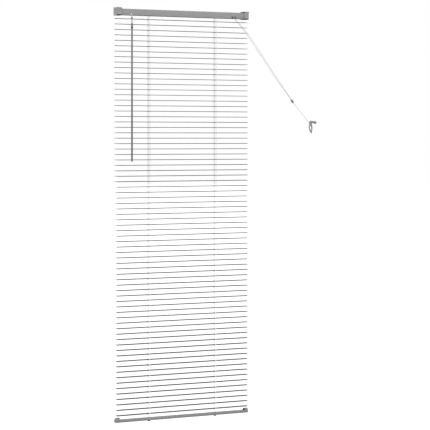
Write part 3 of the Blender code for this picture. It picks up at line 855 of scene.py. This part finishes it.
def makeLiftCord(name, side, along):
    # Up through the slats from the bottom rail, over the cradle and along to the lock.
    x, y, footZ = side * curtain["ladderX"], curtain["middleY"], curtain["footZ"]
    foot, cradle = Vector((x, y, footZ - liftCord["anchor"])), Vector((x, y, liftCord["cradleZ"]))
    path = smoothRoute([foot, cradle, *millimetres(*along)], liftCord["step"])
    mesh = cordMesh(path, liftCord["radius"], liftCord["sides"])
    cord = addPiece(name + "LiftCord", mesh, liftGrey, None, "cord_fibre", name + "_lift_cord")
    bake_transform(cord)


makeLadder("left", -1)
makeLadder("right", 1)
makeLiftCord(
    "left",
    -1,
    (
        (-146.8, -15.7, -27.4),
        (-143.8, -16.7, -25.95),
        (-136, -18.5, -25.95),
        (-120, -19.5, -25.95),
        (200, -19.5, -25.95),
        (212, -20.0, -25.7),
        (218.5, -20.6, -25.7),
    ),
)
makeLiftCord(
    "right",
    1,
    (
        (149.2, -15.3, -27.4),
        (152.2, -14.3, -25.95),
        (160, -13.0, -25.95),
        (200, -14.0, -25.95),
        (212, -15.5, -25.7),
        (218.5, -17.2, -25.7),
    ),
)
print("ladders and lift cords are threaded")


railLook = {
    "wall": 0.8 * mm,
    "lip": 3 * mm,
    "cornerRadius": 2.4 * mm,
    "grooveDepth": 0.35 * mm,
    "grooveWidth": 1.4 * mm,
    "grooves": (0.2, 0.8),  # shares of the front's height
    "ladderHole": (3.7 * mm, 11 * mm),  # half its width and half its depth
    "noseSlot": (9 * mm, 9 * mm),
    "cordSlot": (20 * mm, 8.6 * mm),
}


def makeHeadRail():
    # A rolled channel with round corners, curled lips and two rolled lines on each side.
    half = (railHigh.y - railLow.y) / 2
    wall, lip = railLook["wall"], railLook["lip"]
    depth, width = railLook["grooveDepth"], railLook["grooveWidth"]

    def sideFace(outward, upward):
        # The points up one side's outer face, or down it, with its rolled lines.
        points = []
        heights = [2 * half * share - half for share in railLook["grooves"]]
        for height in heights if upward else heights[::-1]:
            way = 1 if upward else -1
            for step, inset in ((-1, 0), (-0.4, 1), (0.4, 1), (1, 0)):
                points.append((outward * (half - depth * inset), height + way * step * width / 2))
        return points

    def inner(outward, upward):
        return [(x - outward * wall, z) for x, z in sideFace(outward, upward)]

    outer = [(-half, -half), (half, -half), *sideFace(1, True), (half, half)]
    curled, step = half - wall * 1.6, lip - 0.5 * mm
    outer += [(half - lip, half), (half - lip, curled), (half - step, curled)]
    outer += [(half - step, half - wall), (half - wall, half - wall)]
    outer += [*inner(1, False), (half - wall, wall - half), (wall - half, wall - half), *inner(-1, True)]
    outer += [(wall - half, half - wall), (step - half, half - wall)]
    outer += [(step - half, curled), (lip - half, curled), (lip - half, half)]
    outer += [(-half, half), *sideFace(-1, False)]
    big = railLook["cornerRadius"]
    radii = []
    for x, z in outer:
        corner = abs(abs(x) - half) < 1e-9 and abs(abs(z) - half) < 1e-9
        innerCorner = abs(abs(x) - half + wall) < 1e-9 and abs(abs(z) - half + wall) < 1e-9
        radii.append(big if corner else big - wall if innerCorner else 0.3 * mm)
    outline = rounded(outer, radii, 4)
    middle = (railLow + railHigh) / 2
    place = Matrix.Translation(middle) @ alongX
    rail = thickMesh([outline], railHigh.x - railLow.x, place)

    cutters = []
    tilterX = (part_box("tilter_housing")[0].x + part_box("tilter_housing")[1].x) / 2
    lockX = (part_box("cord_lock")[0].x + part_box("cord_lock")[1].x) / 2
    floorZ, frontY = railLow.z, railLow.y
    for side in (-1, 1):
        x, y = side * curtain["ladderX"], curtain["middleY"]
        across, along = railLook["ladderHole"]
        corners = [(-across, -along), (across, -along), (across, along), (-across, along)]
        place = Matrix.Translation((x, y, floorZ))
        cutters.append(thickMesh([rounded(corners, 2 * mm)], 4 * mm, place))
    for x, (width, high) in ((tilterX, railLook["noseSlot"]), (lockX, railLook["cordSlot"])):
        low = (x - width / 2, frontY - mm, floorZ - mm)
        cutters.append(boxMesh(low, (x + width / 2, frontY + 8 * mm, floorZ + high)))
    mesh = cutMesh(rail, *cutters)
    smoothByAngle(mesh, 32)
    addPiece("headRail", mesh, railPaint, "frame", "rail_paint", "head_rail")


makeHeadRail()
print("head rail is rolled")


bracketLook = {
    "edge": 0.45 * mm,
    "ribDepth": 0.5 * mm,
    "shadeDepth": 0.9 * mm,  # how deep inside its walls the box gets painted shade, a near-black finish
    "panelWidth": 13 * mm,
    "panelDepth": 0.35 * mm,
}


def makeBracket(name, side):
    # The box with rounded edges, two pressed ribs on its outer side, and its hinged door.
    node = name + "_bracket"
    low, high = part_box(node)
    outerX = high.x if side > 0 else low.x
    body = softened(nodes[node].data.copy(), bracketLook["edge"], 3)
    grooves = []
    for share in (0.3, 0.68):
        z = high.z + (low.z - high.z) * share
        rib = thickMesh(
            [rounded([(-9 * mm, -mm), (9 * mm, -mm), (9 * mm, mm), (-9 * mm, mm)], 1 * mm)],
            2 * bracketLook["ribDepth"],
            Matrix.Translation((outerX, (low.y + high.y) / 2 - mm, z)) @ alongX,
        )
        grooves.append(rib)
    body = cutMesh(body, *grooves)
    smoothByAngle(body, 35)
    bracket = addPiece(name + "Bracket", body, bracketPaint, "frame", "rail_paint", node)
    # Faces deep inside the box get the near-black finish: painted shade inside the box.
    bracket.data.materials.append(paintedHollowShade)
    deep = bracketLook["shadeDepth"]
    for face in bracket.data.polygons:
        x, y, z = face.center
        if low.x + deep < x < high.x - deep and low.z + deep < z < high.z - deep and y < high.y - deep:
            face.material_index = 1

    doorNode = node + "_door"
    doorLow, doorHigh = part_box(doorNode)
    door = softened(nodes[doorNode].data.copy(), 0.3 * mm, 2)
    middle = (doorLow.x + doorHigh.x) / 2
    panelTop, panelFoot = doorHigh.z - 8 * mm, doorLow.z + 6 * mm
    left, right = middle - bracketLook["panelWidth"] / 2, middle + bracketLook["panelWidth"] / 2
    corners = [(left, panelFoot), (right, panelFoot), (right, panelTop), (left, panelTop)]
    place = Matrix.Translation((0, doorLow.y + 1.5 * mm, 0)) @ facingRoom
    panel = thickMesh([rounded(corners, 2 * mm)], 2 * bracketLook["panelDepth"], place)
    door = cutMesh(door, panel)
    smoothByAngle(door, 35)
    addPiece(name + "BracketDoor", door, bracketPaint, doorNode, "rail_paint", doorNode)


makeBracket("left", -1)
makeBracket("right", 1)
print("brackets are pressed")


def makeWorks():
    for node, name, width, finish, body, slot in (
        ("tilter_housing", "tilterHousing", 0.5, nylon, "frame", "white_nylon"),
        ("tilter_worm", "tilterWorm", 0.2, socketPlastic, "tilter_worm", "grey_plastic"),
        ("tilter_gear", "tilterGear", 0.15, nylon, "tilt_shaft", "white_nylon"),
        ("left_tilt_drum", "leftTiltDrum", 0.4, nylon, "tilt_shaft", "white_nylon"),
        ("right_tilt_drum", "rightTiltDrum", 0.4, nylon, "tilt_shaft", "white_nylon"),
        ("left_cradle", "leftCradle", 0.35, nylon, "frame", "white_nylon"),
        ("right_cradle", "rightCradle", 0.35, nylon, "frame", "white_nylon"),
        ("cord_lock_roller", "cordLockRoller", 0.25, zincSteel, "cord_lock_roller", "zinc_steel"),
        ("tilt_rod", "tiltRod", 0.3, zincSteel, "tilt_shaft", "zinc_steel"),
    ):
        softenNode(node, name, width * mm, finish, body, slot)


def makeCordLock():
    # The cord lock, with painted shade on the faces inside it, and a pale bar between its two mouths
    lock = softenNode("cord_lock", "cordLock", 0.25 * mm, lockNylon, "frame", "white_nylon")
    lock.data.materials.append(paintedHollowShade)
    low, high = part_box("cord_lock")
    for face in lock.data.polygons:
        if low.y + 0.4 * mm < face.center.y < high.y - 0.4 * mm and face.center.z < high.z - 2 * mm:
            if low.x + 0.4 * mm < face.center.x < high.x - 0.4 * mm:
                face.material_index = 1


makeWorks()
makeCordLock()
print("tilter, drums and cord lock are fitted")


wandLook = {
    "radius": 3.8 * mm,
    "tip": 5 * mm,
    "boreRadius": 2.3 * mm,
    "collarRibs": 18,
    "shadowGapTop": -39 * mm,  # the band of painted shadow round the socket, in the gap at its joint
    "shadowGapFoot": -47 * mm,
    "darkFoot": 5.5 * mm,  # the collar's dark ends
    "darkTop": 1.5 * mm,
}


def makeWand():
    # A six-sided wand with a domed tip, its ribbed collar and the socket it hangs from.
    low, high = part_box("tilt_wand")
    x, y = (low.x + high.x) / 2, (low.y + high.y) / 2
    radius, tip = wandLook["radius"], wandLook["tip"]
    bm = bmesh.new()
    rings = []
    levels = [(0.0, 0.86), (0.5 * mm, 1.0), (2.4 * mm, 1.0)]
    levels += [(high.z - low.z - tip + tip * math.sin(a), max(0.12, math.cos(a))) for a in
               (math.radians(t) for t in (0, 20, 38, 54, 68, 80))]
    corner = 0.12  # how far a corner is rounded, as a share of the side
    for down, share in levels:
        ring = []
        for k in range(6):
            here = Vector((math.sin(k * math.pi / 3), math.cos(k * math.pi / 3), 0))
            for other in (k - 1, k + 1):
                there = Vector((math.sin(other * math.pi / 3), math.cos(other * math.pi / 3), 0))
                spot = here.lerp(there, corner) * radius * share
                ring.append(bm.verts.new(spot + Vector((x, y, high.z - down))))
        rings.append(ring)
    for upper, lower in zip(rings, rings[1:]):
        for k in range(12):
            j = (k + 1) % 12
            bm.faces.new((upper[k], upper[j], lower[j], lower[k]))
    bm.faces.new(rings[0])
    bm.faces.new(rings[-1])
    bmesh.ops.recalc_face_normals(bm, faces=bm.faces)
    mesh = bpy.data.meshes.new("wand")
    bm.to_mesh(mesh)
    bm.free()
    inside = wandLook["boreRadius"]
    profile = [(0, 5 * mm), (inside, 5 * mm), (inside, -10 * mm), (0, -10 * mm)]
    bore = turnedMesh(profile, Matrix.Translation((x, y, high.z)), 20)
    mesh = cutMesh(mesh, bore)
    smoothByAngle(mesh, 22)
    addPiece("tiltWand", mesh, wandPlastic, "tilt_wand", "wand_plastic", "tilt_wand")

    collarLow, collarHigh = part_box("wand_collar")
    outlineOut = []
    ribs = wandLook["collarRibs"]
    reach = (collarHigh.x - collarLow.x) / 2
    for k in range(ribs * 4):
        angle = 2 * math.pi * k / (ribs * 4)
        r = reach - (0.35 * mm if k % 4 in (2, 3) else 0)
        outlineOut.append((r * math.cos(angle), r * math.sin(angle)))
    bore = arc((0, 0), inside, 0, 345, 24)
    middle = Matrix.Translation((x, y, (collarLow.z + collarHigh.z) / 2))
    collar = thickMesh([outlineOut, bore], collarHigh.z - collarLow.z, middle)
    collar = softened(collar, 0.2 * mm, 2, 60, 25)
    rings = bmesh.new()
    rings.from_mesh(collar)
    for level in (collarLow.z + wandLook["darkFoot"], collarHigh.z - wandLook["darkTop"]):
        everything = rings.verts[:] + rings.edges[:] + rings.faces[:]
        bmesh.ops.bisect_plane(rings, geom=everything, plane_co=(0, 0, level), plane_no=(0, 0, 1))
    rings.to_mesh(collar)
    rings.free()
    sleeve = addPiece("wandCollar", collar, collarPlastic, "tilt_wand", "grey_plastic", "wand_collar")
    sleeve.data.materials.append(darkEndsAndShadowGap)
    for face in sleeve.data.polygons:
        if not collarLow.z + wandLook["darkFoot"] < face.center.z < collarHigh.z - wandLook["darkTop"]:
            face.material_index = 1
    socket = softenNode(
        "wand_socket", "wandSocket", 0.15 * mm, socketPlastic, "wand_socket", "wand_plastic"
    )
    # The band round the socket gets the near-black finish: painted shadow in the gap at the joint.
    socket.data.materials.append(darkEndsAndShadowGap)
    for face in socket.data.polygons:
        if wandLook["shadowGapFoot"] < face.center.z < wandLook["shadowGapTop"]:
            face.material_index = 1


makeWand()
print("wand is hung")


footLook = {
    "cornerRadius": 3.2 * mm,
    "wall": 0.8 * mm,
    "grooveDepth": 0.3 * mm,
    "band": 1.7 * mm,  # half the height of the raised middle band
    "earY": -2.2 * mm,
    "hollowZ": 5.6 * mm,
    "hollowRadius": 6.7 * mm,
}


def makeBottomRail():
    # An oval tube with a rolled line on each face, end caps, cord plugs and string tails.
    half, tall = (footHigh.y - footLow.y) / 2, (footHigh.z - footLow.z) / 2
    depth = footLook["grooveDepth"]
    band = footLook["band"]
    face, edge = half - depth, band + 0.4 * mm
    side = [(face, -edge), (half, -band), (half, band), (face, edge)]
    outer = [(-face, -tall), (face, -tall), *side, (face, tall), (-face, tall)]
    outer += [(-y, -z) for y, z in side]
    radius = footLook["cornerRadius"]
    radii = [radius if abs(abs(z) - tall) < 1e-9 else 0.3 * mm for _, z in outer]
    wall = footLook["wall"]
    hollow = [(wall - face, wall - tall), (face - wall, wall - tall)]
    hollow += [(face - wall, tall - wall), (wall - face, tall - wall)]
    outlines = [rounded(outer, radii, 6), rounded(hollow, radius - wall, 6)]
    middle = (footLow + footHigh) / 2
    rail = thickMesh(outlines, footHigh.x - footLow.x, Matrix.Translation(middle) @ alongX)
    cutters = []
    for way in (-1, 1):
        x, y = way * curtain["ladderX"], curtain["middleY"]
        for radius, z in ((2 * mm, footHigh.z), (3.6 * mm, footLow.z)):
            hole = [(0, 3 * mm), (radius, 3 * mm), (radius, -3 * mm), (0, -3 * mm)]
            cutters.append(turnedMesh(hole, Matrix.Translation((x, y, z)), 24))
    rail = cutMesh(rail, *cutters)
    smoothByAngle(rail, 30)
    addPiece("bottomRail", rail, footPaint, "bottom_rail", "slat_paint", "bottom_rail")
    for name, way in (("left", -1), ("right", 1)):
        makeEndCap(name, way)
        node, plug = name + "_cord_plug", name + "CordPlug"
        softenNode(node, plug, 0.35 * mm, capPlastic, "bottom_rail", "grey_plastic", 3)
        makeStringTails(name, way)


def makeEndCap(name, way):
    # The moulded cap, with painted shade inside its hollow ear
    node = name + "_end_cap"
    low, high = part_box(node)
    cap = softenNode(node, name + "EndCap", 0.4 * mm, capPlastic, "bottom_rail", "grey_plastic", 3)
    cap.data.materials.append(paintedHollowShade)
    openX = footHigh.x if way > 0 else footLow.x
    closedX = high.x if way > 0 else low.x
    ear = Vector((curtain["middleY"] + footLook["earY"], curtain["footZ"] + footLook["hollowZ"]))
    for face in cap.data.polygons:
        away = (Vector((face.center.y, face.center.z)) - ear).length
        depth = (face.center.x - openX) * way
        inside = 0.6 * mm < depth < abs(closedX - openX) - mm
        if inside and away < footLook["hollowRadius"]:
            face.material_index = 1


def makeStringTails(name, way):
    # The ladder's ends come down both sides of the rail and are held under it by the plug.
    x, y, z = way * curtain["ladderX"], curtain["middleY"], curtain["footZ"]
    half, tall = (footHigh.y - footLow.y) / 2, (footHigh.z - footLow.z) / 2
    out, radius = half + 0.75 * mm, ladderLook["stringRadius"]
    tails = []
    for depth in (-1, 1):
        points = [
            (out, 0.4 * mm),
            (out, -1.8 * mm),
            (out - 1.0 * mm, -3.8 * mm),
            (out - 3.2 * mm, -tall - 0.55 * mm),
            (8 * mm, -tall - 0.6 * mm),
            (4.9 * mm, -tall - 0.5 * mm),
            (3.2 * mm, -tall + 0.2 * mm),
        ]
        route = [Vector((x, y + depth * over, z + down)) for over, down in points]
        tails.append(cordMesh(smoothRoute(route, 0.8 * mm), radius, 8))
    addPiece(name + "StringTails", joinMeshes(*tails), ladderWhite, "bottom_rail", "cord_fibre")


makeBottomRail()
print("bottom rail is fitted")


def makeCleat():
    # The cleat with its edges well rounded, and its screw with a cross recess.
    softenNode("cord_cleat", "cordCleat", 1.1 * mm, cleatPlastic, "frame", "grey_plastic", 4, 50)
    low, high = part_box("cleat_screw")
    x, z = (low.x + high.x) / 2, (low.z + high.z) / 2
    radius = (high.x - low.x) / 2
    head = low.y
    profile = [(0, 0), (radius * 0.62, -0.1 * mm), (radius * 0.9, -0.7 * mm), (radius, -1.6 * mm)]
    tip = head - high.y
    profile += [(radius, -1.9 * mm), (1.9 * mm, -1.9 * mm), (1.9 * mm, tip), (0, tip)]
    place = Matrix.Translation((x, head, z)) @ Matrix.Rotation(math.pi / 2, 4, "X")
    screw = turnedMesh(profile, place)
    arms = []
    for turn in (20, 110):
        across = boxMesh((-2.1 * mm, -0.4 * mm, -1.0 * mm), (2.1 * mm, 0.4 * mm, 1 * mm))
        across.transform(place @ Matrix.Rotation(math.radians(turn), 4, "Z"))
        arms.append(across)
    screw = cutMesh(screw, *arms)
    smoothByAngle(screw, 30)
    addPiece("cleatScrew", screw, zincSteel, "frame", "zinc_steel", "cleat_screw")


makeCleat()
print("cleat is screwed on")
